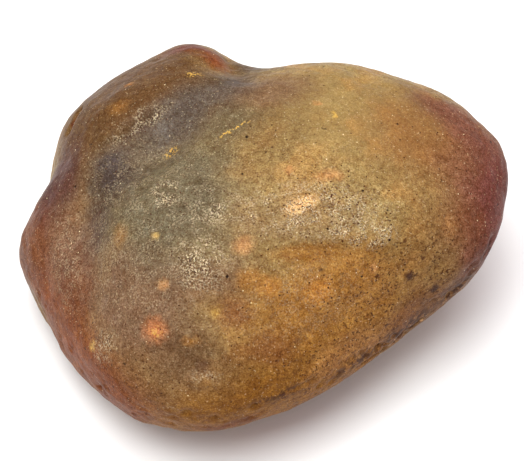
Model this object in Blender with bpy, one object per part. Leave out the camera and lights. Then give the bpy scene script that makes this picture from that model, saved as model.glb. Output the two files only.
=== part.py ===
"""Raw carnelian: one water-worn nodule of chalcedony, at rest on its worn foot.

Run with: blender --background --python part.py

The stone grew and was worn as one piece, so it is one solid. X runs along its length, Y across
it, away from the side with the steeper face, and Z up. The origin is on the surface that the
stone rests on, under the middle of its bounding box. Every size here is in millimetres, and MM
turns it into Blender's metres.
"""

import math
from collections import namedtuple

import bmesh
import bpy
from mathutils import Vector, noise

MM = 0.001

# The plan of the crown: the distance from the stone's axis to its widest line, read every 15
# degrees, anticlockwise from +X. The long readings at the start are the narrow end, and the short
# ones near 90 and 180 degrees are the notches on either side of the shoulder.
CROWN_RADII = (
    30.5, 32.5, 30.5, 27.0, 25.0, 22.5, 22.2, 27.5,
    28.5, 29.0, 29.5, 27.0, 28.5, 26.5, 26.5, 27.0,
    28.0, 27.5, 25.5, 23.5, 22.5, 22.5, 24.0, 28.5,
)

# The plan of the belly, read every 30 degrees. Wear has rounded off its lobes.
BELLY_RADII = (
    28.5, 28.5, 26.0, 25.0, 26.0, 28.5,
    29.5, 27.0, 24.5, 21.5, 21.0, 23.0,
)

# How steeply the surface has to face up or down before one plan gives way to the other.
CROWN_ABOVE = 0.30
BELLY_BELOW = -0.45

# The widest line is tilted: it lies near the floor at the steep face and rides up to the
# narrow end and the back.
GIRDLE_HEIGHT = 10.8
GIRDLE_RISE_X = 4.0
GIRDLE_RISE_Y = 2.5

# The cross-sections are superellipses, and 1 would make them plain ellipses. The lowest part
# of the belly, BELLY_DEPTH under the floor, is worn away by the foot.
TOP_HEIGHT = 28.0
BELLY_DEPTH = 1.2
FULLNESS_ROUND = 0.86
FULLNESS_TOP = 0.86
FULLNESS_BELLY = 0.85
FOOT_BLEND = 0.8

# The ellipsoid whose surface directions the landforms and the grain rise along.
BODY_CENTRE = Vector((0.0, 0.0, 13.0))
BODY_SEMI_AXES = Vector((29.0, 25.0, 14.5))

# A landform is a swelling or a hollow along a line on the surface. It fades with distance
# from the line over its reach, and a rise below zero cuts into the stone.
Landform = namedtuple("Landform", "name start end reach rise")
LANDFORMS = (
    Landform("shoulder crest", (-18.8, 3.8, 24.7), (-8.0, 12.8, 26.8), 4.5, 1.3),
    Landform("valley behind the shoulder", (-3.7, 15.0, 25.0), (-12.3, 3.7, 27.1), 4.5, -1.8),
    Landform("valley foot", (-12.3, 3.7, 27.1), (-22.0, -2.0, 22.5), 4.5, -1.9),
    Landform("west groove", (-19.2, -3.5, 24.0), (-20.3, -15.0, 17.5), 3.5, -1.0),
    Landform("west lobe", (-27.0, -2.0, 11.0), (-26.5, -6.0, 10.0), 6.0, 0.9),
    Landform("middle swelling", (-11.4, -5.7, 26.5), (-11.7, -13.0, 23.8), 4.5, 0.6),
    Landform("dome", (6.2, -4.3, 26.7), (9.0, 2.0, 27.0), 9.0, 0.8),
    Landform("front crest", (-6.0, -13.0, 25.0), (16.0, -8.5, 22.5), 5.0, 0.9),
    Landform("flat below the front crest", (1.0, -22.0, 19.5), (17.0, -12.5, 20.0), 5.0, -1.0),
    Landform("front hollow", (-7.2, -20.9, 19.2), (-5.7, -18.6, 21.5), 4.0, -1.0),
    Landform("front left swelling", (-18.4, -18.6, 15.4), (-16.0, -20.0, 12.0), 5.0, 0.6),
    Landform("front swelling", (-1.8, -22.2, 15.9), (5.0, -20.0, 14.5), 6.0, 0.5),
    Landform("notch beside the shoulder", (-4.4, 20.4, 20.3), (-3.4, 17.2, 23.4), 2.2, -1.6),
    Landform("shoulder tip", (-8.6, 23.0, 19.5), (-8.0, 21.0, 22.5), 2.8, 0.5),
    Landform("hollow over the west lobe", (-26.6, 0.8, 14.0), (-25.6, 0.6, 17.5), 3.0, -0.9),
    Landform("hollow under the west lobe", (-27.8, -7.0, 5.5), (-26.3, -10.0, 4.5), 2.6, -1.1),
    Landform("narrow end", (29.6, 3.6, 17.0), (29.6, -1.6, 17.0), 3.0, 0.3),
    Landform("edge of the steep face", (16.5, -13.6, 9.0), (20.0, -11.0, 9.6), 3.5, 0.2),
)

# Low undulation left by growth and wear: the width of its waves and how far they stand out.
UNDULATION_WIDTH = 11.0
UNDULATION_RISE = 0.45
UNDULATION_OCTAVES = 3
UNDULATION_SEED = Vector((3.1, 7.7, 1.9))

# Quads along one side of each of the six faces of the ball that the stone is shaped from.
QUADS_ALONG_FACE = 28

# Look of the stone's outside: amber-brown, waxy chalcedony.
STONE_COLOUR = (0.30, 0.155, 0.055, 1.0)
STONE_ROUGHNESS = 0.42


def clear_scene():
    for obj in list(bpy.data.objects):
        bpy.data.objects.remove(obj)


def waxy_stone():
    material = bpy.data.materials.new("waxy_chalcedony")
    material.use_nodes = True
    shader = material.node_tree.nodes["Principled BSDF"]
    shader.inputs["Base Color"].default_value = STONE_COLOUR
    shader.inputs["Roughness"].default_value = STONE_ROUGHNESS
    shader.inputs["Metallic"].default_value = 0.0
    return material


def periodic(readings, around):
    """The value at an angle, on a smooth closed curve through evenly spaced readings."""
    count = len(readings)
    place = around / math.tau * count
    step = math.floor(place)
    share = place - step
    before, here, after, beyond = (readings[(step + k) % count] for k in (-1, 0, 1, 2))
    bend = 2 * before - 5 * here + 4 * after - beyond + share * (3 * (here - after) + beyond - before)
    return here + 0.5 * share * (after - before + share * bend)


def smooth_step(low, high, value):
    share = min(max((value - low) / (high - low), 0.0), 1.0)
    return share * share * (3 - 2 * share)


def body_point(direction):
    """The point of the plain, unworn body that a direction from the ball's centre maps to."""
    around = math.atan2(direction.y, direction.x)
    outward = math.hypot(direction.x, direction.y)
    girdle = GIRDLE_HEIGHT + GIRDLE_RISE_X * math.cos(around) + GIRDLE_RISE_Y * math.sin(around)
    crown = smooth_step(BELLY_BELOW, CROWN_ABOVE, direction.z)
    radius = crown * periodic(CROWN_RADII, around) + (1 - crown) * periodic(BELLY_RADII, around)
    reach = radius * outward**FULLNESS_ROUND
    if direction.z >= 0:
        height = girdle + (TOP_HEIGHT - girdle) * direction.z**FULLNESS_TOP
    else:
        height = girdle - (girdle + BELLY_DEPTH) * (-direction.z) ** FULLNESS_BELLY
    return Vector((reach * math.cos(around), reach * math.sin(around), height))


def surface_direction(point):
    """Which way the body's surface faces at a point, near enough to push it in or out."""
    offset = point - BODY_CENTRE
    return Vector(offset[k] / BODY_SEMI_AXES[k] ** 2 for k in range(3)).normalized()


def distance_to_line(point, start, end):
    start, end = Vector(start), Vector(end)
    along = end - start
    share = (point - start).dot(along) / along.length_squared
    return (point - (start + along * min(max(share, 0.0), 1.0))).length


def landform_rise(point):
    return sum(
        form.rise * math.exp(-((distance_to_line(point, form.start, form.end) / form.reach) ** 2))
        for form in LANDFORMS
    )


def undulation(point):
    place = point / UNDULATION_WIDTH + UNDULATION_SEED
    return UNDULATION_RISE * noise.fractal(place, 1.0, 2.0, UNDULATION_OCTAVES)


def worn_foot(height):
    """Heights under the floor are worn away to it, with a soft turn over FOOT_BLEND."""
    if height >= FOOT_BLEND:
        return height
    if height <= -FOOT_BLEND:
        return 0.0
    return (height + FOOT_BLEND) ** 2 / (4 * FOOT_BLEND)


def stone_point(direction):
    body = body_point(direction)
    point = body + surface_direction(body) * (landform_rise(body) + undulation(body))
    point.z = worn_foot(point.z)
    return point


def ball():
    """A unit ball of nearly even quads: a subdivided cube pushed out to a sphere."""
    mesh = bmesh.new()
    bmesh.ops.create_cube(mesh, size=2.0)
    bmesh.ops.subdivide_edges(
        mesh, edges=mesh.edges, cuts=QUADS_ALONG_FACE - 1, use_grid_fill=True
    )
    for vertex in mesh.verts:
        evened = Vector(math.tan(value * math.pi / 4) for value in vertex.co)
        vertex.co = evened.normalized()
    return mesh


def centre_on_plan(mesh):
    """Puts the origin under the middle of the stone's bounding box."""
    middle = Vector(
        (min(v.co[k] for v in mesh.verts) + max(v.co[k] for v in mesh.verts)) / 2 for k in (0, 1)
    )
    bmesh.ops.translate(mesh, verts=mesh.verts, vec=(-middle[0], -middle[1], 0.0))


def make_carnelian(collection):
    shape = ball()
    for vertex in shape.verts:
        vertex.co = stone_point(vertex.co)
    centre_on_plan(shape)
    bmesh.ops.scale(shape, verts=shape.verts, vec=(MM, MM, MM))
    bmesh.ops.triangulate(shape, faces=shape.faces)
    bmesh.ops.recalc_face_normals(shape, faces=shape.faces)
    mesh = bpy.data.meshes.new("carnelian")
    shape.to_mesh(mesh)
    shape.free()
    mesh.shade_smooth()
    mesh.materials.append(waxy_stone())
    stone = bpy.data.objects.new("carnelian", mesh)
    collection.objects.link(stone)
    return stone


def main():
    clear_scene()
    collection = bpy.data.collections.new("raw_carnelian")
    bpy.context.scene.collection.children.link(collection)
    make_carnelian(collection)


main()
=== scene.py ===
"""Raw carnelian, dressed: one water-worn nodule of chalcedony on a white table.

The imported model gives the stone's solid. The stone operator smooths that solid, wears fine relief
into it and gives it its skin of waxy, pitted chalcedony. The stage operator lays the table, lights
it and sets up the camera. Lengths on the panel are in metres, and the tables of places on the
stone are in millimetres, in the model's own frame: X along the stone, Y across it, Z up.
"""

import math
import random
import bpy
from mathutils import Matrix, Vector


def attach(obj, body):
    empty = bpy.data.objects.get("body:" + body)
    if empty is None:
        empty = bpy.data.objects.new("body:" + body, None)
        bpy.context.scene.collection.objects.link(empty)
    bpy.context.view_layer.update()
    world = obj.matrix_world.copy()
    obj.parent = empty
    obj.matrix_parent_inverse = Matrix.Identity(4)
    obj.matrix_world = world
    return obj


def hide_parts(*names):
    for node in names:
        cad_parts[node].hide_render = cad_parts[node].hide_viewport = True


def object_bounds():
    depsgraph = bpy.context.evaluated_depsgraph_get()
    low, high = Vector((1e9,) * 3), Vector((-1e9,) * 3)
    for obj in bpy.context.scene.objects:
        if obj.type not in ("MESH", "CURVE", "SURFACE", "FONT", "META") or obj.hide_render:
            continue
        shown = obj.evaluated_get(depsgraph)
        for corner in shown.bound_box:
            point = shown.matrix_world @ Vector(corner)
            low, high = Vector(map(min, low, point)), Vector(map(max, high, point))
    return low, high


bl_info = {
    "name": "Raw Carnelian",
    "version": (1, 0, 0),
    "blender": (4, 5, 0),
    "location": "3D View > Sidebar > Carnelian",
    "description": "Dresses a water-worn nodule of raw carnelian and sets it on a white table",
    "category": "Add Mesh",
}

from collections import namedtuple

import bmesh
import bpy
import numpy as np
from mathutils import Vector, noise

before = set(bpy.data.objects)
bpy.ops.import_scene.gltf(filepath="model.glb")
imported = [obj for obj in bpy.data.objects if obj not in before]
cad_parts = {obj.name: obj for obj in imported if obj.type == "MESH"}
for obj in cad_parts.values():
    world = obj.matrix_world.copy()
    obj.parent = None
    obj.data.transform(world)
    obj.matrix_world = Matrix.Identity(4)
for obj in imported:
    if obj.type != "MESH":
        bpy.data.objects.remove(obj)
CAD_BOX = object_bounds()

MM = 0.001
STONE_NODE = "carnelian"

# The solid's triangles are welded, paired into quads that bend and skew by less than these
# angles, and subdivided this many times.
WELD_DISTANCE = 0.001 * MM
QUAD_BEND = math.radians(40)
QUAD_SKEW = math.radians(60)
SMOOTHING_LEVELS = 2

# The low swells are noise in layers. Each layer is SWELL_STEP times as fine as the one before, and
# SWELL_FALL sets how quickly the layers get lower.
SWELL_LAYERS = 3
SWELL_STEP = 2.1
SWELL_FALL = 1.0

# Dents and chips vary from this share of the widest radius and depth up to the whole.
SMALLEST_BOWL = 0.35

# The table and the softboxes over it, in metres.
TABLE_SIZE = 4.0
SOFTBOX_SIZE = 0.26
KEY_PLACE = (-0.10, -0.03, 0.34)
FILL_PLACE = (0.02, 0.04, 0.35)

# The light of the walls gives way to that of the ceiling between these heights, where straight up
# is 1.
WALL_TOP = 0.1
CEILING_EDGE = 0.9


def linear(hex_colour):
    """An sRGB hex colour as the linear red, green and blue that shaders work in, fully opaque."""
    channels = [int(hex_colour[k : k + 2], 16) / 255 for k in (1, 3, 5)]
    return [c / 12.92 if c <= 0.04045 else ((c + 0.055) / 1.055) ** 2.4 for c in channels] + [1.0]


def colour(name, description, hex_colour):
    return bpy.props.FloatVectorProperty(
        name=name, description=description, subtype="COLOR", size=4, min=0.0, max=1.0,
        default=linear(hex_colour),
    )


def length(name, description, in_mm):
    return bpy.props.FloatProperty(
        name=name, description=description, subtype="DISTANCE", unit="LENGTH", default=in_mm * MM
    )


# ---------------------------------------------------------------- places on the stone

# A mark is a swelling or a cut along a line on the skin. It fades with distance from the line
# over its reach, and a rise below zero cuts in.
Mark = namedtuple("Mark", "name start end reach rise")
MARKS = (
    Mark("crease on the shoulder", (-18.1, 4.3, 24.0), (-11.0, 8.7, 25.9), 0.7, -0.35),
    Mark("lip over the crease", (-18.4, 5.8, 24.4), (-11.6, 10.2, 26.2), 1.0, 0.22),
    Mark("step under the crest frost, upper", (1.0, -10.9, 27.4), (15.0, -9.9, 25.5), 0.9, 0.16),
    Mark("step under the crest frost, lower", (1.0, -12.4, 27.0), (15.0, -11.4, 24.9), 0.9, -0.14),
    Mark("dent in front", (-7.4, -22.9, 19.0), (-6.3, -22.9, 19.2), 1.4, -0.55),
    Mark("lip under the dent", (-8.0, -24.2, 17.5), (-5.6, -24.3, 17.5), 1.0, 0.25),
    Mark("coral eye", (-12.0, -19.5, 21.2), (-11.8, -19.5, 21.2), 1.1, -0.30),
    Mark("hollow under the olive swelling", (-6.0, -18.5, 23.4), (-4.0, -18.8, 23.3), 1.8, -0.25),
    Mark("slit in the back edge", (-23.8, 10.6, 19.0), (-22.6, 13.0, 20.0), 0.6, -0.80),
    Mark("cut of the notch", (-4.2, 20.2, 21.2), (-3.7, 18.6, 22.3), 0.9, -0.35),
    Mark("crack over the rim", (13.0, -17.0, 10.6), (14.8, -15.4, 9.8), 0.50, -0.60),
    Mark("crack over the rim, right", (16.5, -14.2, 10.8), (19.0, -12.0, 10.8), 0.35, -0.35),
    Mark("crack over the rim, left", (4.0, -23.0, 14.0), (6.4, -21.4, 14.2), 0.35, -0.25),
    Mark("crack by the narrow end", (22.4, -9.8, 12.8), (24.8, -8.3, 14.2), 0.40, -0.35),
    Mark("lip of the rim", (10.2, -19.4, 12.4), (14.6, -16.2, 10.9), 0.60, 0.15),
    Mark("chip at the narrow end", (27.1, -5.9, 16.6), (27.5, -5.2, 17.4), 0.7, -0.60),
    Mark("chip by the narrow end", (24.7, -8.5, 16.5), (25.3, -8.0, 17.0), 0.6, -0.45),
)

# The rim of the steep face, where chips lie close together.
RIM = (
    (-26.5, -9.0, 9.0), (-21.5, -18.5, 9.0), (-12.0, -25.0, 11.0), (-2.0, -25.4, 12.0),
    (9.2, -19.5, 11.8), (18.0, -12.6, 10.6), (24.0, -8.8, 13.4), (28.0, -4.0, 16.0),
)

# A region of the skin is what lies in an ellipsoid, with radii along, across and up, turned about
# Z. Its share is its strength out to the core part of the radii, and has faded away at 1.
Region = namedtuple("Region", "name centre radii turn core strength")

# A patch is a region with a colour.
Patch = namedtuple("Patch", "name tint centre radii turn core strength")

# Broad stains in the body of the stone, with painted shade left of the dome and left of the crest.
# What comes later lies over what comes before.
STAINS = (
    Patch("bark right of the dome", "bark", (21.0, 5.0, 25.0), (13, 14, 12), 0, 0.2, 0.65),
    Patch("gold under the crest", "gold", (8.0, -16.0, 21.0), (18, 8, 10), 20, 0.3, 0.85),
    Patch("amber front", "amber", (4.0, -25.0, 10.0), (32, 11, 15), 20, 0.4, 0.95),
    Patch("bark lower right", "bark", (20.0, -12.5, 13.5), (12, 5, 8), 35, 0.2, 0.85),
    Patch("bark right of the crest", "bark", (20.5, -7.5, 22.5), (8, 6, 8), 30, 0.1, 0.4),
    Patch("shade left of the dome", "umber", (-1.0, 5.0, 28.0), (10, 12, 10), 30, 0.1, 0.5),
    Patch("taupe haze on the crest", "taupe", (4.0, -9.0, 27.5), (12, 5.5, 6), 0, 0.3, 0.3),
    Patch("taupe haze by the notch", "taupe", (0.5, 11.5, 26.5), (9, 6, 6), 0, 0.2, 0.7),
    Patch("umber in the notch", "umber", (-3.6, 15.8, 23.4), (3.4, 2.4, 3.0), 0, 0.1, 0.75),
    Patch("slate by the notch", "slate", (-0.8, 18.3, 21.8), (6, 4.5, 5), 0, 0.2, 0.75),
    Patch("olive below the notch", "olive", (-3.8, 5.5, 27.5), (6.5, 5, 5), 30, 0.2, 0.75),
    Patch("umber shoulder", "umber", (-15.0, 12.5, 20.0), (16, 12, 16), 40, 0.5, 0.95),
    Patch("russet upper flank", "russet", (-27.5, -3.0, 14.0), (9, 12, 13), 0, 0.3, 0.9),
    Patch("rust lower flank", "rust", (-25.0, -13.5, 10.5), (9, 11, 12), -15, 0.3, 0.8),
    Patch("rust lower left", "rust", (-18.5, -21.5, 10.5), (13, 11, 13), -35, 0.2, 0.85),
    Patch("russet under the groove", "russet", (-22.0, -11.0, 17.5), (5, 12, 6), -10, 0.3, 0.85),
    Patch("taupe left of the middle", "taupe", (-13.5, -15.5, 22.0), (10, 10, 12), -20, 0.35, 0.85),
    Patch("taupe under the middle", "taupe", (-5.0, -16.0, 25.5), (6, 5, 6), 0, 0.2, 0.7),
    # Painted shade under the crest, to its left.
    Patch("painted shade left of the crest", "umber", (-2.0, -12.2, 27.3), (6, 4, 5), 0, 0.1, 0.35),
    Patch("taupe round the front dent", "taupe", (-8.5, -22.0, 19.0), (9, 5.5, 8), 0, 0.2, 0.6),
    Patch("umber round the front dent", "umber", (-8.0, -22.0, 19.6), (6.5, 4.2, 5), 0, 0.1, 0.45),
    Patch("bark in front", "bark", (1.0, -21.0, 19.3), (6.0, 3.4, 3.6), 0, 0.2, 0.75),
    Patch("olive beside the valley", "olive", (-11.0, -4.5, 27.0), (12.5, 14, 12), 20, 0.35, 0.95),
    Patch("slate valley, north", "slate", (-4.5, 12.0, 25.5), (6.5, 4.5, 6), 41, 0.1, 0.7),
    Patch("ash valley", "ash", (-9.0, 7.8, 25.3), (13.0, 6.0, 8), 41, 0.15, 0.95),
    Patch("slate valley, foot", "slate", (-17.6, 1.0, 22.9), (5.8, 5.6, 6), 40, 0.2, 0.95),
    Patch("slate groove, west", "slate", (-19.2, -5.5, 20.8), (3.6, 7.5, 6), -5, 0.2, 0.9),
    Patch("taupe groove, west", "taupe", (-18.8, -11.5, 20.5), (4.2, 6.5, 7), -8, 0.3, 0.35),
    Patch("mauve notch", "mauve", (-24.2, 3.0, 18.5), (7.0, 8.0, 8), 0, 0.25, 0.88),
    Patch("taupe on the west flank", "taupe", (-22.5, -5.5, 18.5), (5.5, 10, 8), 0, 0.1, 0.75),
    Patch("maroon narrow end", "maroon", (30.5, -0.5, 18.5), (13.5, 17, 18), -5, 0.3, 1.0),
    Patch("russet over the narrow end", "russet", (24.0, -5.2, 21.2), (6, 5, 6), 0, 0.1, 0.5),
    Patch("taupe haze on the back edge", "taupe", (21.5, 10.5, 24.0), (8, 4, 5), -35, 0.2, 0.55),
    Patch("maroon back edge", "maroon", (24.5, 9.0, 23.0), (9, 4.5, 6), -35, 0.3, 0.6),
    Patch("maroon over the rim", "maroon", (25.5, -7.5, 17.5), (5, 3, 4), 38, 0.1, 0.6),
    Patch("brick tip of the shoulder", "brick", (-8.5, 21.0, 22.0), (6, 2.8, 4), -10, 0.2, 0.9),
    Patch("peach over the rim", "peach", (10.0, -19.2, 14.5), (9, 3.5, 4), 33, 0.2, 0.42),
    Patch("dirt on the rim, right", "plum", (24.2, -9.0, 14.2), (5, 1.8, 3.0), 35, 0.1, 0.4),
    Patch("red under the front", "brick", (-3.5, -25.6, 9.8), (7, 2, 2.2), 5, 0.2, 0.6),
)

# Small clouds and grains of other chalcedony, seen just under the skin, with cracks, chips, dirt and
# pits. Among them are painted sheen and a painted highlight on the top, painted glints on the rim,
# and painted shade in the front dent and in the crease on the shoulder.
CLOUDS = (
    Patch("coral eye", "coral", (-12.0, -19.5, 21.2), (2.2, 2.0, 2.6), 0, 0.1, 1.0),
    Patch("peach cloud on the crest", "peach", (-2.0, -12.2, 27.5), (2.0, 1.6, 2.0), 30, 0.1, 0.7),
    Patch("gold cloud on the crest", "gold", (-1.2, -15.8, 25.7), (2.4, 2.0, 2.2), 0, 0.3, 0.7),
    Patch("orange cloud, left", "orange", (0.9, -16.1, 24.7), (2.1, 1.9, 2.1), 0, 0.1, 0.75),
    Patch("orange cloud, right", "orange", (6.6, -15.6, 23.1), (2.5, 2.3, 2.5), 0, 0.2, 1.0),
    Patch("peach grain, left", "peach", (-11.0, -15.6, 24.5), (1.1, 1.0, 1.2), 0, 0.1, 0.7),
    Patch("peach grain, front", "peach", (13.0, -12.4, 23.1), (0.8, 0.8, 1.0), 0, 0.2, 0.8),
    Patch("red cloud in front", "rust", (-2.8, -18.6, 23.2), (3.6, 2.8, 3.2), 0, 0.1, 0.45),
    Patch("amber cloud under the crest", "amber", (12.6, -11.2, 25.0), (3.0, 1.7, 2.4), 0, 0.2, 0.45),
    Patch("amber band under the crest", "amber", (5.5, -12.4, 26.3), (7.0, 1.5, 1.8), 6, 0.3, 0.7),
    Patch("peach cloud, right", "peach", (22.0, -6.3, 23.0), (1.8, 1.8, 2.2), 0, 0.1, 0.5),
    # Painted sheen and a painted highlight on the top, where the softboxes reflect.
    Patch("painted sheen on the top", "peach", (7.9, -3.0, 28.2), (2.6, 1.3, 2.0), 10, 0.1, 0.7),
    Patch("painted highlight on the top", "highlight_cream", (4.8, -6.8, 28.0), (3.0, 1.3, 2.0), 28, 0.2, 0.8),
    Patch("peach grain on the top", "peach", (3.4, -2.4, 28.3), (1.1, 0.9, 1.0), 0, 0.1, 0.8),
    Patch("peach grain on the dome", "peach", (6.8, 8.3, 27.4), (0.9, 0.7, 1.0), 0, 0.2, 0.8),
    Patch("straw grain on the dome", "straw", (8.7, 6.3, 27.7), (0.5, 0.8, 1.0), 0, 0.2, 0.8),
    Patch("straw grain, west", "straw", (-12.1, -10.1, 26.1), (0.8, 0.8, 0.9), 0, 0.1, 0.6),
    Patch("gold cloud, west", "gold", (-16.3, -8.4, 24.0), (1.6, 2.2, 2.0), 0, 0.1, 0.4),
    Patch("straw grain, lower left", "straw", (-19.5, -18.0, 15.2), (0.8, 0.8, 1.2), 0, 0.1, 0.8),
    Patch("straw grain in front", "straw", (-5.2, -18.5, 23.3), (1.3, 0.8, 1.2), 30, 0.0, 0.6),
    Patch("gold smear in front", "gold", (-8.0, -20.8, 20.9), (1.6, 0.7, 1.0), 0, 0.0, 0.7),
    Patch("lip of the rim", "peach", (13.6, -16.8, 10.2), (5.0, 1.2, 1.0), 38, 0.0, 0.4),
    Patch("dirt on the narrow end", "plum", (27.2, -5.8, 17.0), (1.3, 1.4, 1.5), 0, 0.2, 0.85),
    Patch("dark chip by the narrow end", "plum", (24.8, -8.4, 16.7), (1.2, 0.8, 1.0), 40, 0.2, 0.8),
    Patch("dark crack over the rim", "ink", (14.0, -16.2, 10.2), (1.6, 0.7, 0.9), 36, 0.3, 0.95),
    Patch("dark crack, right", "ink", (18.2, -12.7, 10.9), (2.2, 0.6, 0.7), 38, 0.2, 0.8),
    # Painted glints on the rim.
    Patch("painted glint on the rim", "highlight_cream", (16.2, -14.6, 11.0), (0.8, 0.5, 0.5), 40, 0.3, 0.9),
    Patch("painted glint on the rim, right", "highlight_cream", (19.4, -11.8, 10.7), (0.6, 0.4, 0.4), 40, 0.3, 0.85),
    Patch("dark slit in the back edge", "brick", (-23.2, 11.8, 19.6), (1.6, 0.9, 1.2), 60, 0.2, 0.8),
    Patch("orange cloud on the shoulder", "orange", (-17.0, 9.3, 25.0), (2.2, 1.6, 2.0), 20, 0.0, 0.35),
    Patch("orange grain on the shoulder", "orange", (-16.2, 13.8, 24.6), (0.9, 0.7, 1.0), 0, 0.1, 0.7),
    Patch("rust tip of the shoulder", "rust", (-5.4, 18.8, 23.1), (3.2, 3.6, 2.6), -30, 0.1, 0.8),
    Patch("dark grain, right", "plum", (17.2, -11.5, 20.0), (1.0, 0.85, 1.1), 0, 0.25, 0.9),
    Patch("dark grain, far right", "plum", (20.5, -11.1, 16.8), (0.9, 0.75, 1.1), 0, 0.25, 0.9),
    Patch("dark grain, middle", "plum", (6.9, -13.9, 25.0), (0.6, 0.5, 0.6), 0, 0.1, 0.85),
    Patch("shade of the front dent", "plum", (-6.9, -23.0, 19.1), (2.0, 1.3, 1.6), 10, 0.0, 0.8),
    # Painted shade in the crease on the shoulder.
    Patch("painted shade in the shoulder crease", "plum", (-14.8, 6.1, 24.6), (4.4, 0.55, 1.2), 31, 0.1, 0.6),
    Patch("long pit on the dome", "ink", (7.5, 3.9, 28.2), (0.45, 0.18, 0.6), -20, 0.3, 1.0),
    Patch("round pit on the dome", "ink", (6.5, 1.3, 28.4), (0.28, 0.25, 0.6), 0, 0.3, 1.0),
    Patch("pit, lower left", "ink", (-15.5, -21.4, 17.0), (0.35, 0.35, 0.45), 0, 0.3, 0.9),
)

# Where flecks of straw-coloured iron stain lie close together.
FLECKS = (
    Region("flecks in the valley", (-10.6, 3.2, 24.6), (1.5, 1.0, 2.0), 20, 0.2, 1.0),
    Region("flecks on the shoulder", (-8.3, 14.3, 25.9), (1.6, 0.9, 2.0), 0, 0.2, 0.9),
    Region("row of flecks", (-3.3, 4.0, 28.0), (2.9, 0.35, 2.0), 35, 0.4, 1.0),
    Region("flecks in the coral eye", (-12.0, -19.8, 21.0), (1.1, 1.1, 1.4), 0, 0.3, 0.6),
)

# Where the skin is worn white by bruising, a dense white of tiny cracks. That white is also painted
# sheen and sparkle, laid where the highlights fall: on the top, along the crest, on the middle and
# on the ridge over the shoulder crease.
FROST_AND_SHEEN = (
    Region("brightest frost", (4.9, -6.9, 28.0), (3.6, 1.5, 3.0), 28, 0.25, 1.0),
    Region("frost on the crest", (5.8, -7.6, 27.6), (12.0, 4.6, 5.0), 0, 0.4, 0.75),
    Region("frost along the crest", (12.0, -9.6, 26.2), (6.5, 1.8, 3.0), 0, 0.5, 0.85),
    Region("frost left of the crest", (-5.0, -7.6, 27.9), (5.0, 3.2, 4.0), 15, 0.2, 0.75),
    Region("frost on the middle", (-7.0, -14.2, 26.6), (4.8, 5.2, 5.0), 30, 0.15, 0.9),
    Region("frost by the valley", (-11.0, -4.6, 27.1), (3.0, 4.0, 4.0), 0, 0.1, 0.9),
    Region("frost over the olive", (-6.4, -6.2, 27.8), (3.0, 2.0, 2.5), 20, 0.2, 0.85),
    Region("frost on the shoulder crease", (-15.2, 6.7, 25.2), (7.4, 1.4, 2.6), 34, 0.2, 0.85),
    Region("frost lower left", (-18.2, -19.0, 16.8), (3.0, 2.6, 4.5), 0, 0.1, 0.7),
    Region("frost on the west groove", (-17.0, -12.0, 23.0), (3.0, 7.0, 5.0), 10, 0.0, 0.35),
    Region("frost on the west flank", (-23.0, -8.0, 17.5), (4, 12, 7), 0, 0.0, 0.4),
    Region("frost under the front dent", (-6.4, -24.0, 18.0), (2.8, 1.4, 1.8), 0, 0.1, 0.6),
    Region("faint frost, west", (-13.0, -7.0, 24.0), (14, 17, 14), 0, 0.4, 0.26),
    Region("faint frost, front", (5.0, -16.0, 22.0), (14, 6, 8), 20, 0.2, 0.22),
)

# Where dirt fills the chipped skin over the rim of the steep face.
DIRTY = (
    Region("dirt in front", (2.6, -23.4, 13.8), (6.5, 1.8, 1.9), 28, 0.0, 0.75),
    Region("dirt below the crest", (11.0, -18.4, 12.2), (6.0, 2.0, 1.8), 36, 0.2, 0.8),
    Region("dirt to the right", (17.5, -13.4, 11.8), (6.5, 2.4, 2.8), 40, 0.2, 0.9),
    Region("dirt by the narrow end", (23.2, -9.3, 13.6), (5.0, 2.2, 3.2), 38, 0.2, 0.8),
    Region("dirt round the narrow end", (27.2, -5.9, 16.2), (2.4, 2.4, 3.0), 45, 0.2, 0.8),
)

# Where the skin is clear and smooth.
CLEAR = Region("clear skin on the dome", (11.0, 8.0, 26.0), (16, 13, 10), 0, 0.4, 1.0)

# Where the skin is thick with fine dark pits.
PITTED = (
    Region("pits at the lower right", (17.0, -13.0, 18.0), (15, 9, 14), 30, 0.4, 1.0),
    Region("pits in front", (8.0, -21.0, 14.0), (12, 7, 10), 20, 0.3, 0.8),
    Region("pits under the frost", (9.0, -7.0, 27.0), (14, 7, 7), 0, 0.3, 0.8),
    Region("pits at the lower left", (-18.0, -20.0, 15.0), (10, 9, 10), -40, 0.3, 0.5),
)

# ---------------------------------------------------------------- panel settings


class StoneRelief(bpy.types.PropertyGroup):
    """Sizes of the fine relief that wear leaves on the stone's skin."""

    swell_width: length("Swell width", "Width of the low swells in the skin", 3.2)
    swell_height: length("Swell height", "How far the low swells stand out", 0.12)
    grain_width: length("Grain width", "Width of the fine grain", 0.9)
    grain_height: length("Grain height", "How far the fine grain stands out", 0.04)
    skin_wear: length("Skin wear", "How far the whole skin is worn in", 0.03)
    foot_fade: length("Foot fade", "Height over which the relief grows from the worn foot", 1.0)
    dents: bpy.props.IntProperty(name="Dents", description="Dents all over", default=170, min=0)
    dent_radius: length("Dent radius", "Radius of the widest dents", 1.4)
    dent_depth: length("Dent depth", "Depth of the widest dents", 0.16)
    chips: bpy.props.IntProperty(name="Chips", description="Chips along the rim", default=110, min=0)
    chip_radius: length("Chip radius", "Radius of the widest chips", 0.9)
    chip_depth: length("Chip depth", "Depth of the widest chips", 0.34)
    chip_spread: length("Chip spread", "How far from the rim chips lie", 2.4)
    seed: bpy.props.IntProperty(name="Seed", description="Where the dents and chips fall", default=7)


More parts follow.
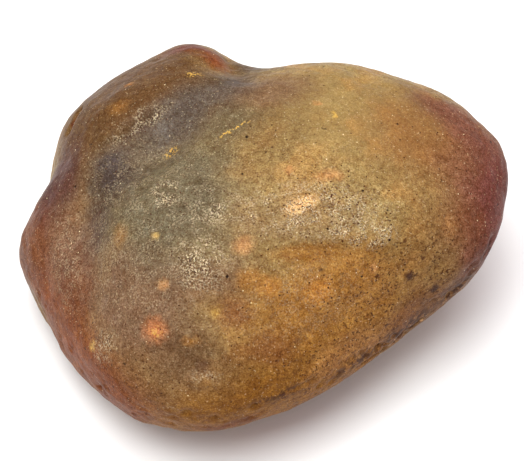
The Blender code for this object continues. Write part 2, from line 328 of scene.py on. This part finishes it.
class StoneColours(bpy.types.PropertyGroup):
    """Colours in the stone's skin."""

    honey: colour("Honey", "Body colour of the dome", "#886F43")
    gold: colour("Gold", "Deeper colour beside the dome", "#926229")
    amber: colour("Amber", "Clear deep colour of the front", "#7E5119")
    olive: colour("Olive", "Greenish grey beside the valley", "#544A37")
    ash: colour("Ash", "Paler grey along the valley", "#4E433A")
    slate: colour("Slate", "Dark grey in the valley", "#392D29")
    # Umber also paints the shade left of the dome and left of the crest.
    umber: colour("Umber", "Brown of the shoulder", "#52371E")
    taupe: colour("Taupe", "Grey brown left of the middle", "#644837")
    russet: colour("Russet", "Red brown of the upper flank", "#693920")
    rust: colour("Rust", "Iron-stained lower left", "#723210")
    bark: colour("Bark", "Brown of the lower right", "#734622")
    maroon: colour("Maroon", "Dark red of the narrow end", "#683930")
    mauve: colour("Mauve", "Grey purple in the notch", "#442321")
    brick: colour("Brick", "Red tip of the shoulder", "#592111")
    coral: colour("Coral", "Bright eye at the lower left", "#AB6C43")
    orange: colour("Orange", "Orange clouds under the skin", "#A87233")
    # Peach also paints the sheen on the top.
    peach: colour("Peach", "Pale clouds under the skin", "#A97848")
    # This colour paints the highlight on the top and the glints on the rim.
    highlight_cream: colour("Cream", "Palest clouds under the skin", "#D5A86E")
    straw: colour("Straw", "Flecks of yellow iron stain", "#C09848")
    # This colour is also painted sheen and sparkle where the highlights fall.
    frost_and_sheen: colour("Frost", "Bruised skin", "#D3C09C")
    # Plum also paints the shade in the front dent and in the crease on the shoulder.
    plum: colour("Plum", "Dark grains", "#3C241C")
    cocoa: colour("Cocoa", "Dirt in the fine pits", "#472612")
    ink: colour("Ink", "Dirt in the wide pits", "#2A1810")
    glint: colour("Glint", "Crystal faces that catch the light", "#EAD8AE")


class StageSettings(bpy.types.PropertyGroup):
    """The table, its light and the camera."""

    table_colour: colour("Table", "Colour of the table top", "#EBEBEB")
    room_colour: colour("Room", "Colour of the light from the room", "#FFEFF3")
    softbox_colour: colour("Softboxes", "Colour of the softboxes", "#F9FFFD")
    camera_elevation: bpy.props.FloatProperty(
        name="Elevation", description="Height of the camera above the horizon",
        subtype="ANGLE", unit="ROTATION", default=math.radians(55),
    )
    camera_distance: length("Distance", "From the camera to its aim", 215)
    focal_length: bpy.props.FloatProperty(
        name="Focal length", description="Focal length of the lens", subtype="DISTANCE_CAMERA",
        unit="CAMERA", default=120,
    )
    aim: bpy.props.FloatVectorProperty(
        name="Aim", description="Point that the camera looks at", subtype="TRANSLATION",
        unit="LENGTH", default=(0.1 * MM, -0.1 * MM, 13 * MM),
    )
    key_power: bpy.props.FloatProperty(
        name="Key power", description="Power of the left softbox", unit="POWER", default=1.1
    )
    fill_power: bpy.props.FloatProperty(
        name="Fill power", description="Power of the right softbox", unit="POWER", default=0.75
    )
    ceiling: bpy.props.FloatProperty(
        name="Ceiling", description="Brightness of the room overhead", default=0.9, min=0.0
    )
    walls: bpy.props.FloatProperty(
        name="Walls", description="Brightness of the room at the horizon", default=0.30, min=0.0
    )


# ---------------------------------------------------------------- node and mesh helpers


def add(tree, kind, inputs=None, **settings):
    """Adds a node with its settings, and sets or links the inputs that are named."""
    made = tree.nodes.new(kind)
    for name, value in settings.items():
        setattr(made, name, value)
    for socket, value in (inputs or {}).items():
        if isinstance(value, bpy.types.NodeSocket):
            tree.links.new(value, made.inputs[socket])
        else:
            made.inputs[socket].default_value = value
    return made


def new_material(name):
    material = bpy.data.materials.new(name)
    material.use_nodes = True
    tree = material.node_tree
    return material, tree, tree.nodes["Principled BSDF"]


def smoothed_copy(source):
    """The CAD solid as quads where its triangles pair up, smoothed by subdivision."""
    shape = bmesh.new()
    shape.from_mesh(source.data)
    bmesh.ops.remove_doubles(shape, verts=shape.verts, dist=WELD_DISTANCE)
    bmesh.ops.join_triangles(
        shape, faces=shape.faces, angle_face_threshold=QUAD_BEND, angle_shape_threshold=QUAD_SKEW
    )
    coarse = bpy.data.meshes.new("coarse")
    shape.to_mesh(coarse)
    shape.free()
    cage = bpy.data.objects.new("cage", coarse)
    bpy.context.scene.collection.objects.link(cage)
    subdivision = cage.modifiers.new("smooth", "SUBSURF")
    subdivision.levels = SMOOTHING_LEVELS
    subdivision.render_levels = SMOOTHING_LEVELS
    graph = bpy.context.evaluated_depsgraph_get()
    mesh = bpy.data.meshes.new_from_object(cage.evaluated_get(graph))
    bpy.data.objects.remove(cage)
    return mesh


def distances(places, start, end):
    """How far each place is from a line between two points."""
    start, end = np.array(start), np.array(end)
    along = end - start
    share_along = np.clip((places - start) @ along / (along @ along), 0, 1)
    return np.linalg.norm(places - start - share_along[:, None] * along, axis=1)


def waves(places, relief):
    """Low swells with a fine grain on them."""
    heights = []
    for place in places:
        spot = Vector(place / relief.swell_width)
        swell = noise.fractal(spot, SWELL_FALL, SWELL_STEP, SWELL_LAYERS)
        grain = noise.noise(Vector(place / relief.grain_width))
        heights.append(swell * relief.swell_height + grain * relief.grain_height)
    return np.array(heights)


def bowls(places, centres, radius, depth, rng):
    """Round dents at the centres, of random sizes up to a radius and a depth."""
    cut = np.zeros(len(places))
    for centre in centres:
        size = rng.uniform(SMALLEST_BOWL, 1.0)
        distance = np.linalg.norm(places - centre, axis=1) / (radius * size)
        cut -= depth * size * np.clip(1 - distance**2, 0, None) ** 2
    return cut


def skin_relief(places, relief):
    """How far each place on the skin moves along its normal, in metres."""
    rng = random.Random(relief.seed)
    heights = waves(places, relief) - relief.skin_wear
    for mark in MARKS:
        distance = distances(places / MM, mark.start, mark.end)
        heights += mark.rise * MM * np.exp(-((distance / mark.reach) ** 2))
    dented = [places[rng.randrange(len(places))] for _ in range(relief.dents)]
    heights += bowls(places, dented, relief.dent_radius, relief.dent_depth, rng)
    from_rim = np.min([distances(places / MM, a, b) for a, b in zip(RIM, RIM[1:])], axis=0)
    by_rim = np.flatnonzero(from_rim * MM < relief.chip_spread)
    chipped = [places[by_rim[rng.randrange(len(by_rim))]] for _ in range(relief.chips)]
    return heights + bowls(places, chipped, relief.chip_radius, relief.chip_depth, rng)


def wear_skin(mesh, relief):
    """Moves the skin in and out by its relief, and keeps it inside the solid's own box."""
    places = np.empty(len(mesh.vertices) * 3)
    mesh.vertices.foreach_get("co", places)
    places = places.reshape(-1, 3)
    normals = np.array([vertex.normal for vertex in mesh.vertices])
    fade = np.clip(places[:, 2] / relief.foot_fade, 0, 1)
    moved = places + normals * (skin_relief(places, relief) * fade)[:, None]
    moved = np.clip(moved, CAD_BOX[0], CAD_BOX[1])
    mesh.vertices.foreach_set("co", moved.ravel())
    mesh.update()


# ---------------------------------------------------------------- patterns in the skin

# All widths, radii, reaches and depths are in millimetres. A pixel of the render is about 0.12 mm
# of the stone, so what is finer than that on a real one is drawn as coarse as it needs to show.

# Places are moved about in waves of a width, by up to half of a reach either way, which gives
# what is drawn on them loose edges.
STRAY_LEVELS = 3.0
Stray = namedtuple("Stray", "width reach")
STAIN_EDGES = Stray(5.0, 5.0)
CLOUD_EDGES = Stray(0.8, 1.2)
# Loose edges of the bruise marks and of the painted sheen they carry.
BRUISE_AND_SHEEN_EDGES = Stray(1.8, 2.2)
PIT_EDGES = Stray(0.5, 0.35)

# The middle of a noise, and the grey that an overlay leaves as it is.
MID_GREY = 0.5

# Mottling is clouds of a width, broken up by some finer levels.
Mottling = namedtuple("Mottling", "width levels")
BROAD_CLOUDS = Mottling(2.5, 5.0)
SMALL_CLOUDS = Mottling(0.6, 3.0)
# The fibres of chalcedony are thousandths of a millimetre thick. This is the finest grain to show.
FIBRES = Mottling(0.19, 1.0)

# How far mottling moves red, green and blue. Red moves least, so the darks are redder.
MOTTLE_SWING = (0.8, 1.05, 1.3)

# Specks of a width fade in between two levels of noise. They cover more where both are lower.
SPECK_LEVELS = 1.0
Specks = namedtuple("Specks", "width low high")
ORANGE_HAZE = Specks(5.0, 0.48, 0.70)
OLIVE_HAZE = Specks(3.7, 0.48, 0.70)
# Pale specks are partly painted sparkle: fine grain that catches the light.
PALE_SPECKS_AND_SPARKLE = Specks(0.24, 0.64, 0.80)
STRAW_FLECKS = Specks(0.30, 0.50, 0.60)
# Bruises are 1 to 2 mm wide, and they also carry painted sheen. The cracks in them are about
# 0.02 mm wide on a real stone, and the white ones are also painted sparkle.
BRUISES_AND_SHEEN = Specks(1.3, 0.34, 0.60)
WHITE_CRACKS_AND_SPARKLE = Specks(0.21, 0.42, 0.70)
DARK_CRACKS = Specks(0.21, 0.49, 0.66)
# Dirt packs hollows of about 0.7 mm, and rust those of about 0.4 mm.
DIRT_CLOTS = Specks(0.7, 0.42, 0.56)
RUST_SPECKS = Specks(0.42, 0.56, 0.68)
PITTED_SKIN = Specks(1.6, 0.30, 0.62)
SKIN_GRAIN = Specks(0.35, 0.2, 0.8)
SKIN_WAVES = Specks(1.6, 0.2, 0.8)

# Dots of a radius lie in cells of a spacing. Each is full out to DOT_CORE of its radius.
DOT_CORE = 0.5
Dots = namedtuple("Dots", "spacing radius")
# Most pits in such a skin are 0.2 to 0.3 mm wide, and a few are 0.4 mm.
FINE_PITS = Dots(0.42, 0.13)
WIDE_PITS = Dots(2.3, 0.20)
# Painted glints: pale dots stand in for crystal faces that catch the light. The crystal faces are
# about 0.05 mm across on a real stone.
PAINTED_GLINTS = Dots(1.2, 0.09)

FINE_PIT_DEPTH = 0.08
WIDE_PIT_DEPTH = 0.20


def share_of(tree, place, region):
    """How much of a region or a patch is at a place on the skin."""
    turned = add(
        tree, "ShaderNodeVectorRotate",
        {"Vector": place, "Center": region.centre, "Angle": math.radians(-region.turn)},
        rotation_type="Z_AXIS",
    ).outputs[0]
    shrunk = add(
        tree, "ShaderNodeVectorMath", {0: turned, 1: region.radii}, operation="DIVIDE"
    ).outputs[0]
    middle = [along / radius for along, radius in zip(region.centre, region.radii)]
    distance = add(
        tree, "ShaderNodeVectorMath", {0: shrunk, 1: middle}, operation="DISTANCE"
    ).outputs["Value"]
    return add(
        tree, "ShaderNodeMapRange",
        {"Value": distance, "From Min": region.core, "From Max": 1.0, "To Min": region.strength,
         "To Max": 0.0},
        interpolation_type="SMOOTHSTEP",
    ).outputs["Result"]


def coverage(tree, place, regions):
    """The largest share that any of the regions has at a place."""
    covered = 0.0
    for region in regions:
        covered = add(
            tree, "ShaderNodeMath", {0: covered, 1: share_of(tree, place, region)},
            operation="MAXIMUM",
        ).outputs[0]
    return covered


def graded(tree, share, none, full):
    """A number that goes from one value where a share is none to another where it is full."""
    return add(
        tree, "ShaderNodeMath", {0: share, 1: full - none, 2: none}, operation="MULTIPLY_ADD"
    ).outputs[0]


def coated(tree, skin, coats):
    """The skin's colour with coats laid over it in turn, each a share of cover and a colour."""
    for cover, tint in coats:
        skin = add(
            tree, "ShaderNodeMix", {0: cover, 6: skin, 7: tint}, data_type="RGBA"
        ).outputs[2]
    return skin


def patch_coats(tree, place, patches, colours):
    """A coat for each patch, made as it is laid so that the shader holds few values at a time."""
    return ((share_of(tree, place, patch), getattr(colours, patch.tint)) for patch in patches)


def strayed(tree, place, stray):
    """Places moved about, so that what is drawn on them has loose edges."""
    drift = add(
        tree, "ShaderNodeTexNoise",
        {"Vector": place, "Scale": 1 / stray.width, "Detail": STRAY_LEVELS},
    ).outputs["Color"]
    offset = add(
        tree, "ShaderNodeVectorMath", {0: drift, 1: (MID_GREY, MID_GREY, MID_GREY)},
        operation="SUBTRACT",
    ).outputs[0]
    reach = (stray.reach, stray.reach, stray.reach)
    return add(
        tree, "ShaderNodeVectorMath", {0: offset, 1: reach, 2: place}, operation="MULTIPLY_ADD"
    ).outputs[0]


def mottled(tree, place, skin, mottling, contrast):
    """The skin's colour, lightened and darkened in clouds."""
    clouds = add(
        tree, "ShaderNodeTexNoise",
        {"Vector": place, "Scale": 1 / mottling.width, "Detail": mottling.levels},
    ).outputs["Fac"]
    centred = add(
        tree, "ShaderNodeMath", {0: clouds, 1: MID_GREY}, operation="SUBTRACT"
    ).outputs[0]
    swing = add(tree, "ShaderNodeMath", {0: centred, 1: contrast}, operation="MULTIPLY").outputs[0]
    shade = add(
        tree, "ShaderNodeVectorMath",
        {0: swing, 1: MOTTLE_SWING, 2: (MID_GREY, MID_GREY, MID_GREY)},
        operation="MULTIPLY_ADD",
    ).outputs[0]
    return add(
        tree, "ShaderNodeMix", {0: 1.0, 6: skin, 7: shade}, data_type="RGBA", blend_type="OVERLAY"
    ).outputs[2]


def speckled(tree, place, specks, amount):
    """How much of a speck is at a place. A full one is the amount."""
    grain = add(
        tree, "ShaderNodeTexNoise",
        {"Vector": place, "Scale": 1 / specks.width, "Detail": SPECK_LEVELS},
    ).outputs["Fac"]
    return add(
        tree, "ShaderNodeMapRange",
        {"Value": grain, "From Min": specks.low, "From Max": specks.high, "To Min": 0.0,
         "To Max": amount},
        interpolation_type="SMOOTHSTEP",
    ).outputs["Result"]


def dotted(tree, place, dots, density):
    """How much of a round dot is at a place. A density of the cells, picked at random, has one."""
    cells = add(tree, "ShaderNodeTexVoronoi", {"Vector": place, "Scale": 1 / dots.spacing})
    edge = dots.radius / dots.spacing
    inside = add(
        tree, "ShaderNodeMapRange",
        {"Value": cells.outputs["Distance"], "From Min": DOT_CORE * edge, "From Max": edge,
         "To Min": 1.0, "To Max": 0.0},
        interpolation_type="SMOOTHSTEP",
    ).outputs["Result"]
    chance = add(tree, "ShaderNodeSeparateColor", {0: cells.outputs["Color"]}).outputs[0]
    chosen = add(tree, "ShaderNodeMath", {0: chance, 1: density}, operation="LESS_THAN").outputs[0]
    return add(tree, "ShaderNodeMath", {0: inside, 1: chosen}, operation="MULTIPLY").outputs[0]


# ---------------------------------------------------------------- materials


def stained_body(tree, place, loose, close, colours):
    """The body: broad iron stains and chalcedony clouds under the skin, with painted shade, sheen and
    glints.
    """
    clear = share_of(tree, loose, CLEAR)
    skin = coated(tree, colours.honey, (
        (speckled(tree, loose, ORANGE_HAZE, amount=0.25), colours.orange),
        (speckled(tree, loose, OLIVE_HAZE, amount=0.12), colours.olive),
    ))
    skin = coated(tree, skin, patch_coats(tree, loose, STAINS, colours))
    skin = mottled(tree, place, skin, BROAD_CLOUDS, graded(tree, clear, none=0.5, full=0.3))
    skin = coated(tree, skin, patch_coats(tree, close, CLOUDS, colours))
    skin = mottled(tree, place, skin, SMALL_CLOUDS, graded(tree, clear, none=0.7, full=0.35))
    skin = mottled(tree, place, skin, FIBRES, graded(tree, clear, none=1.0, full=0.6))
    return coated(tree, skin, (
        # Pale specks, partly painted sparkle.
        (speckled(tree, place, PALE_SPECKS_AND_SPARKLE, amount=0.45), colours.frost_and_sheen),
        (speckled(tree, place, STRAW_FLECKS, coverage(tree, close, FLECKS)), colours.straw),
    ))


def skin_heights(tree, place, bruised_and_sheen, fine_pits, wide_pits):
    """Heights of the finest relief: waxy waves and grain, rougher where bruising and painted sheen lie.
    """
    grain = speckled(tree, place, SKIN_GRAIN, graded(tree, bruised_and_sheen, none=0.02, full=0.12))
    waves = speckled(tree, place, SKIN_WAVES, amount=0.09)
    height = add(tree, "ShaderNodeMath", {0: grain, 1: waves}, operation="ADD").outputs[0]
    for pits, depth in ((fine_pits, FINE_PIT_DEPTH), (wide_pits, WIDE_PIT_DEPTH)):
        height = add(
            tree, "ShaderNodeMath", {0: pits, 1: -depth, 2: height}, operation="MULTIPLY_ADD"
        ).outputs[0]
    return height


def water_worn_chalcedony(colours):
    """Chalcedony rolled by water: waxy, with a soft sheen, and dull and white where bruising has crazed
    it.

    Light enters it a little way, which gives it a warm glow round its edges, and dirt in its pits
    peppers it with dark specks. Its white also paints sheen and sparkle, and pale dots paint glints.
    """
    material, tree, shader = new_material("water_worn_chalcedony")
    place = add(tree, "ShaderNodeTexCoord").outputs["Object"]
    place = add(tree, "ShaderNodeVectorMath", {0: place, 3: 1 / MM}, operation="SCALE").outputs[0]
    loose = strayed(tree, place, STAIN_EDGES)
    close = strayed(tree, place, CLOUD_EDGES)
    skin = stained_body(tree, place, loose, close, colours)

    # Bruise marks, which also carry painted sheen where the highlights fall.
    bruise_and_sheen_cover = coverage(tree, strayed(tree, place, BRUISE_AND_SHEEN_EDGES), FROST_AND_SHEEN)
    bruised_and_sheen = speckled(tree, close, BRUISES_AND_SHEEN, bruise_and_sheen_cover)
    dirty = coverage(tree, close, DIRTY)
    scattered = strayed(tree, place, PIT_EDGES)
    pitted = speckled(tree, place, PITTED_SKIN, coverage(tree, loose, PITTED))
    rust_specks = speckled(tree, scattered, RUST_SPECKS, graded(tree, pitted, none=0.15, full=0.9))
    fine_pits = dotted(tree, scattered, FINE_PITS, graded(tree, pitted, none=0.06, full=0.66))
    wide_pits = dotted(tree, scattered, WIDE_PITS, density=0.45)
    skin = coated(tree, skin, (
        # White cracks, partly painted sparkle and sheen.
        (speckled(tree, place, WHITE_CRACKS_AND_SPARKLE, bruised_and_sheen), colours.frost_and_sheen),
        (speckled(tree, close, DARK_CRACKS, bruised_and_sheen), colours.plum),
        (speckled(tree, close, DIRT_CLOTS, dirty), colours.plum),
        (rust_specks, colours.cocoa),
        (fine_pits, colours.cocoa),
        (wide_pits, colours.ink),
        # Painted glints: pale dots for crystal faces that catch the light.
        (dotted(tree, place, PAINTED_GLINTS, density=0.35), colours.glint),
    ))

    height = skin_heights(tree, place, bruised_and_sheen, fine_pits, wide_pits)
    relief = add(tree, "ShaderNodeBump", {"Height": height, "Distance": MM})
    tree.links.new(relief.outputs["Normal"], shader.inputs["Normal"])
    tree.links.new(graded(tree, bruised_and_sheen, none=0.42, full=0.62), shader.inputs["Roughness"])
    tree.links.new(skin, shader.inputs["Base Color"])
    shader.inputs["IOR"].default_value = 1.54
    # The worn skin scatters nearly all that polished chalcedony would reflect.
    shader.inputs["Specular IOR Level"].default_value = 0.05
    shader.inputs["Subsurface Weight"].default_value = 0.25
    shader.inputs["Subsurface Radius"].default_value = (1.0, 0.4, 0.15)
    shader.inputs["Subsurface Scale"].default_value = 1.5 * MM
    return material


def white_acrylic_sheet(stage):
    """Satin acrylic sheet: white, with a faint blurred mirror image at low angles."""
    material, _, shader = new_material("white_acrylic_sheet")
    shader.inputs["Base Color"].default_value = stage.table_colour
    shader.inputs["Roughness"].default_value = 0.28
    shader.inputs["IOR"].default_value = 1.49
    return material


# ---------------------------------------------------------------- operators


class CARNELIAN_OT_stone(bpy.types.Operator):
    """Builds the worn, pitted nodule in place of its plain solid"""

    bl_idname = "carnelian.stone"
    bl_label = "Carnelian Nodule"

    def execute(self, context):
        scene = context.scene
        mesh = smoothed_copy(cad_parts[STONE_NODE])
        mesh.name = "carnelian_nodule"
        wear_skin(mesh, scene.carnelian_relief)
        mesh.shade_smooth()
        mesh.materials.clear()
        mesh.materials.append(water_worn_chalcedony(scene.carnelian_colours))
        stone = bpy.data.objects.new("carnelian_nodule", mesh)
        scene.collection.objects.link(stone)
        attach(stone, "root")
        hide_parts(STONE_NODE)
        return {"FINISHED"}


class CARNELIAN_OT_stage(bpy.types.Operator):
    """Lays the white table, hangs the softboxes and sets up the camera"""

    bl_idname = "carnelian.stage"
    bl_label = "Table, Light and Camera"

    def execute(self, context):
        stage = context.scene.carnelian_stage
        lay_table(stage)
        light_room(stage)
        set_camera(stage)
        context.scene.view_settings.view_transform = "Standard"
        return {"FINISHED"}


def lay_table(stage):
    bpy.ops.mesh.primitive_plane_add(size=TABLE_SIZE, location=(0, 0, 0))
    table = bpy.context.object
    table.name = "table_top"
    table.data.materials.append(white_acrylic_sheet(stage))


def light_room(stage):
    world = bpy.data.worlds.new("white_room")
    world.use_nodes = True
    tree = world.node_tree
    background = tree.nodes["Background"]
    background.inputs["Color"].default_value = stage.room_colour
    direction = add(tree, "ShaderNodeTexCoord").outputs["Generated"]
    height = add(tree, "ShaderNodeSeparateXYZ", {"Vector": direction}).outputs["Z"]
    strength = add(
        tree, "ShaderNodeMapRange",
        {"Value": height, "From Min": WALL_TOP, "From Max": CEILING_EDGE, "To Min": stage.walls,
         "To Max": stage.ceiling},
        interpolation_type="SMOOTHSTEP",
    ).outputs["Result"]
    tree.links.new(strength, background.inputs["Strength"])
    bpy.context.scene.world = world
    hang_softbox("key_softbox", KEY_PLACE, stage.key_power, stage.softbox_colour)
    hang_softbox("fill_softbox", FILL_PLACE, stage.fill_power, stage.softbox_colour)


def hang_softbox(name, place, power, tint):
    """A square softbox that faces the middle of the table."""
    light = bpy.data.lights.new(name, "AREA")
    light.size = SOFTBOX_SIZE
    light.energy = power
    light.color = tint[:3]
    softbox = bpy.data.objects.new(name, light)
    softbox.location = place
    softbox.rotation_euler = (-softbox.location).to_track_quat("-Z", "Y").to_euler()
    bpy.context.scene.collection.objects.link(softbox)


def set_camera(stage):
    lens = bpy.data.cameras.new("camera")
    lens.lens = stage.focal_length
    camera = bpy.data.objects.new("camera", lens)
    elevation = stage.camera_elevation
    back = Vector((0, -math.cos(elevation), math.sin(elevation)))
    camera.location = Vector(stage.aim) + back * stage.camera_distance
    camera.rotation_euler = (-back).to_track_quat("-Z", "Y").to_euler()
    bpy.context.scene.collection.objects.link(camera)
    bpy.context.scene.camera = camera


class CARNELIAN_PT_panel(bpy.types.Panel):
    """Sizes and colours of the stone and its stage"""

    bl_idname = "CARNELIAN_PT_panel"
    bl_label = "Raw Carnelian"
    bl_space_type = "VIEW_3D"
    bl_region_type = "UI"
    bl_category = "Carnelian"

    def draw(self, context):
        groups = (
            (context.scene.carnelian_relief, CARNELIAN_OT_stone),
            (context.scene.carnelian_colours, None),
            (context.scene.carnelian_stage, CARNELIAN_OT_stage),
        )
        for settings, operator in groups:
            box = self.layout.box()
            for name in settings.__annotations__:
                box.prop(settings, name)
            if operator:
                box.operator(operator.bl_idname)


CLASSES = (
    StoneRelief, StoneColours, StageSettings, CARNELIAN_OT_stone, CARNELIAN_OT_stage,
    CARNELIAN_PT_panel,
)


def register():
    for cls in CLASSES:
        bpy.utils.register_class(cls)
    scene = bpy.types.Scene
    scene.carnelian_relief = bpy.props.PointerProperty(type=StoneRelief)
    scene.carnelian_colours = bpy.props.PointerProperty(type=StoneColours)
    scene.carnelian_stage = bpy.props.PointerProperty(type=StageSettings)


def unregister():
    del bpy.types.Scene.carnelian_stage
    del bpy.types.Scene.carnelian_colours
    del bpy.types.Scene.carnelian_relief
    for cls in reversed(CLASSES):
        bpy.utils.unregister_class(cls)


def main():
    register()
    bpy.ops.carnelian.stone()
    bpy.ops.carnelian.stage()


if __name__ == "__main__":
    main()
